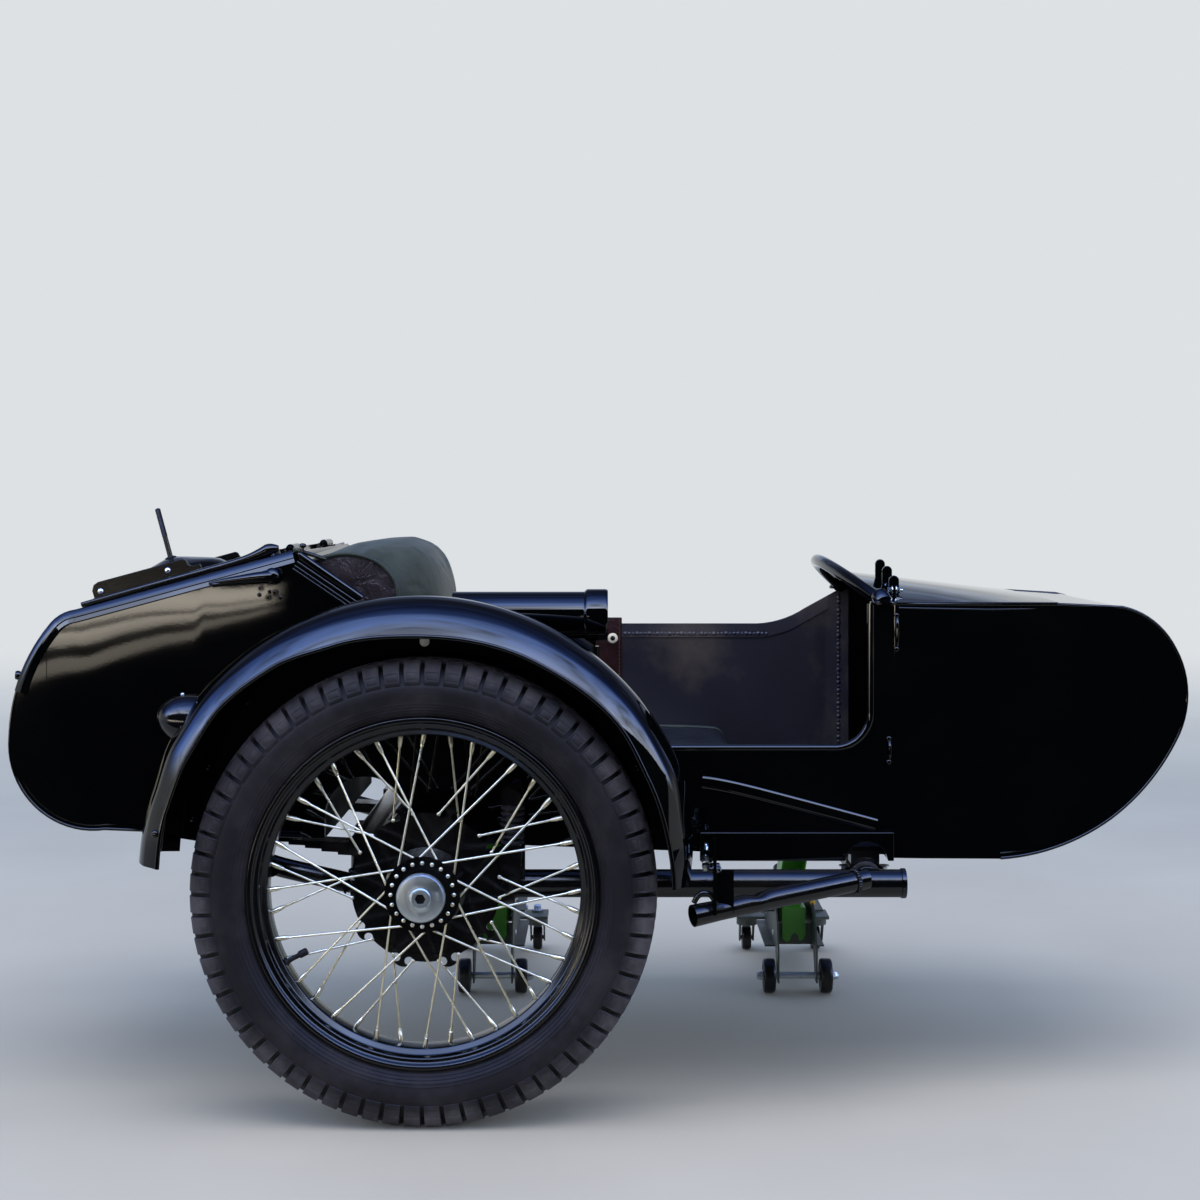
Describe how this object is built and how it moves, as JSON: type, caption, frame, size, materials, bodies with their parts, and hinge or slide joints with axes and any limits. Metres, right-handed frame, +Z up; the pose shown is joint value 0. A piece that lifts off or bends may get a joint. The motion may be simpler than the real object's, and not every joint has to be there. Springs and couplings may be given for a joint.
{
  "type": "motorcycle sidecar",
  "caption": "Single-seat motorcycle sidecar on one spoked wheel with fender and tube frame, held level by trolley jacks.",
  "frame": {"origin": "on the floor under the middle of the whole, jacks included", "axes": "+X forward to the nose, +Y to the left where the motorcycle goes, +Z up"},
  "size_m": [1.8496, 1.1482, 0.8998],
  "materials": {
    "bush_rubber": "dull rubber",
    "cap_zinc": "bright zinc plate",
    "frame_black": "gloss black enamel on steel tube",
    "gloss_black": "gloss black enamel",
    "hub_black": "black enamel on cast alloy",
    "jack_black": "satin black enamel",
    "jack_green": "gloss green enamel",
    "jack_grey": "satin grey enamel",
    "jack_roller": "hard black plastic on a bright rod",
    "lamp_black": "moulded, glossy",
    "rim_black": "gloss black enamel",
    "seat_vinyl": "dark grained vinyl",
    "spoke_zinc": "yellowish zinc plate",
    "tyre_rubber": "dull brown-black rubber"
  },
  "bodies": {
    "root": {"armrest_tube": "gloss_black", "boot_shell": "gloss_black", "brake_plate": "hub_black", "catches": "gloss_black", "coaming_tube": "gloss_black", "cowl": "gloss_black", "cowl_tabs": "gloss_black", "fender": "gloss_black", "fender_rear_stay": "gloss_black", "fender_stay": "gloss_black", "fender_strap": "gloss_black", "frame_front_cross": "frame_black", "frame_left_tube": "frame_black", "frame_rear_cross": "frame_black", "frame_rear_loop": "frame_black", "frame_right_tube": "frame_black", "front_ball_arm": "frame_black", "front_mounts": "bush_rubber", "grab_handle": "gloss_black", "jack_hydraulics": "jack_black", "jack_lift_arms": "jack_green", "jack_side_plates": "jack_grey", "lamp_housing": "lamp_black", "leaf_springs": "frame_black", "lid_hinges": "gloss_black", "nose_shell": "gloss_black", "outrigger": "frame_black", "rear_ball_arm": "frame_black", "seat_back": "seat_vinyl", "seat_bulkhead": "gloss_black", "seat_cushion": "seat_vinyl", "shock_absorber": "bush_rubber", "side_rails": "gloss_black", "strut_lugs": "frame_black", "swing_arm": "frame_black", "trim_panel": "seat_vinyl", "tub_floor": "gloss_black", "tub_side_left": "gloss_black", "tub_side_right": "gloss_black"},
    "road_wheel": {"tyre": "tyre_rubber", "rim": "rim_black", "spokes": "spoke_zinc", "hub": "hub_black", "hub_cap": "cap_zinc"},
    "boot_lid": {"boot_lid": "gloss_black", "spare_carrier": "gloss_black", "spare_stud": "gloss_black"},
    "jack_1_front_axle": {"jack_1_front_wheels": "jack_roller"},
    "jack_1_caster_a": {"jack_1_caster_a_fork": "jack_grey"},
    "jack_1_roller_a": {"jack_1_caster_a_wheel": "jack_roller"},
    "jack_1_caster_b": {"jack_1_caster_b_fork": "jack_grey"},
    "jack_1_roller_b": {"jack_1_caster_b_wheel": "jack_roller"},
    "jack_2_front_axle": {"jack_2_front_wheels": "jack_roller"},
    "jack_2_caster_a": {"jack_2_caster_a_fork": "jack_grey"},
    "jack_2_roller_a": {"jack_2_caster_a_wheel": "jack_roller"},
    "jack_2_caster_b": {"jack_2_caster_b_fork": "jack_grey"},
    "jack_2_roller_b": {"jack_2_caster_b_wheel": "jack_roller"}
  },
  "joints": [
    {"name": "road_wheel_spin", "type": "hinge", "parent": "root", "child": "road_wheel", "pos_m": [-0.2643, -0.5019, 0.342], "axis": [0, 1, 0], "continuous": true},
    {"name": "boot_lid_hinge", "type": "hinge", "parent": "root", "child": "boot_lid", "pos_m": [-0.49789, -0.0919, 0.83733], "axis": [0, 1, 0], "range_deg": [0, 75]},
    {"name": "jack_1_front_axle_spin", "type": "hinge", "parent": "root", "child": "jack_1_front_axle", "pos_m": [0.3557, 0.2151, 0.031], "axis": [1, 0, 0], "continuous": true},
    {"name": "jack_1_caster_a_swivel", "type": "hinge", "parent": "root", "child": "jack_1_caster_a", "pos_m": [0.2857, 0.5351, 0.072], "axis": [0, 0, 1], "continuous": true},
    {"name": "jack_1_roller_a_spin", "type": "hinge", "parent": "jack_1_caster_a", "child": "jack_1_roller_a", "pos_m": [0.2857, 0.5511, 0.023], "axis": [1, 0, 0], "continuous": true},
    {"name": "jack_1_caster_b_swivel", "type": "hinge", "parent": "root", "child": "jack_1_caster_b", "pos_m": [0.42571, 0.5351, 0.072], "axis": [0, 0, 1], "continuous": true},
    {"name": "jack_1_roller_b_spin", "type": "hinge", "parent": "jack_1_caster_b", "child": "jack_1_roller_b", "pos_m": [0.42571, 0.5511, 0.023], "axis": [1, 0, 0], "continuous": true},
    {"name": "jack_2_front_axle_spin", "type": "hinge", "parent": "root", "child": "jack_2_front_axle", "pos_m": [-0.2093, 0.2151, 0.031], "axis": [1, 0, 0], "continuous": true},
    {"name": "jack_2_caster_a_swivel", "type": "hinge", "parent": "root", "child": "jack_2_caster_a", "pos_m": [-0.2793, 0.5351, 0.072], "axis": [0, 0, 1], "continuous": true},
    {"name": "jack_2_roller_a_spin", "type": "hinge", "parent": "jack_2_caster_a", "child": "jack_2_roller_a", "pos_m": [-0.2793, 0.5511, 0.023], "axis": [1, 0, 0], "continuous": true},
    {"name": "jack_2_caster_b_swivel", "type": "hinge", "parent": "root", "child": "jack_2_caster_b", "pos_m": [-0.1393, 0.5351, 0.072], "axis": [0, 0, 1], "continuous": true},
    {"name": "jack_2_roller_b_spin", "type": "hinge", "parent": "jack_2_caster_b", "child": "jack_2_roller_b", "pos_m": [-0.1393, 0.5511, 0.023], "axis": [1, 0, 0], "continuous": true}
  ]
}
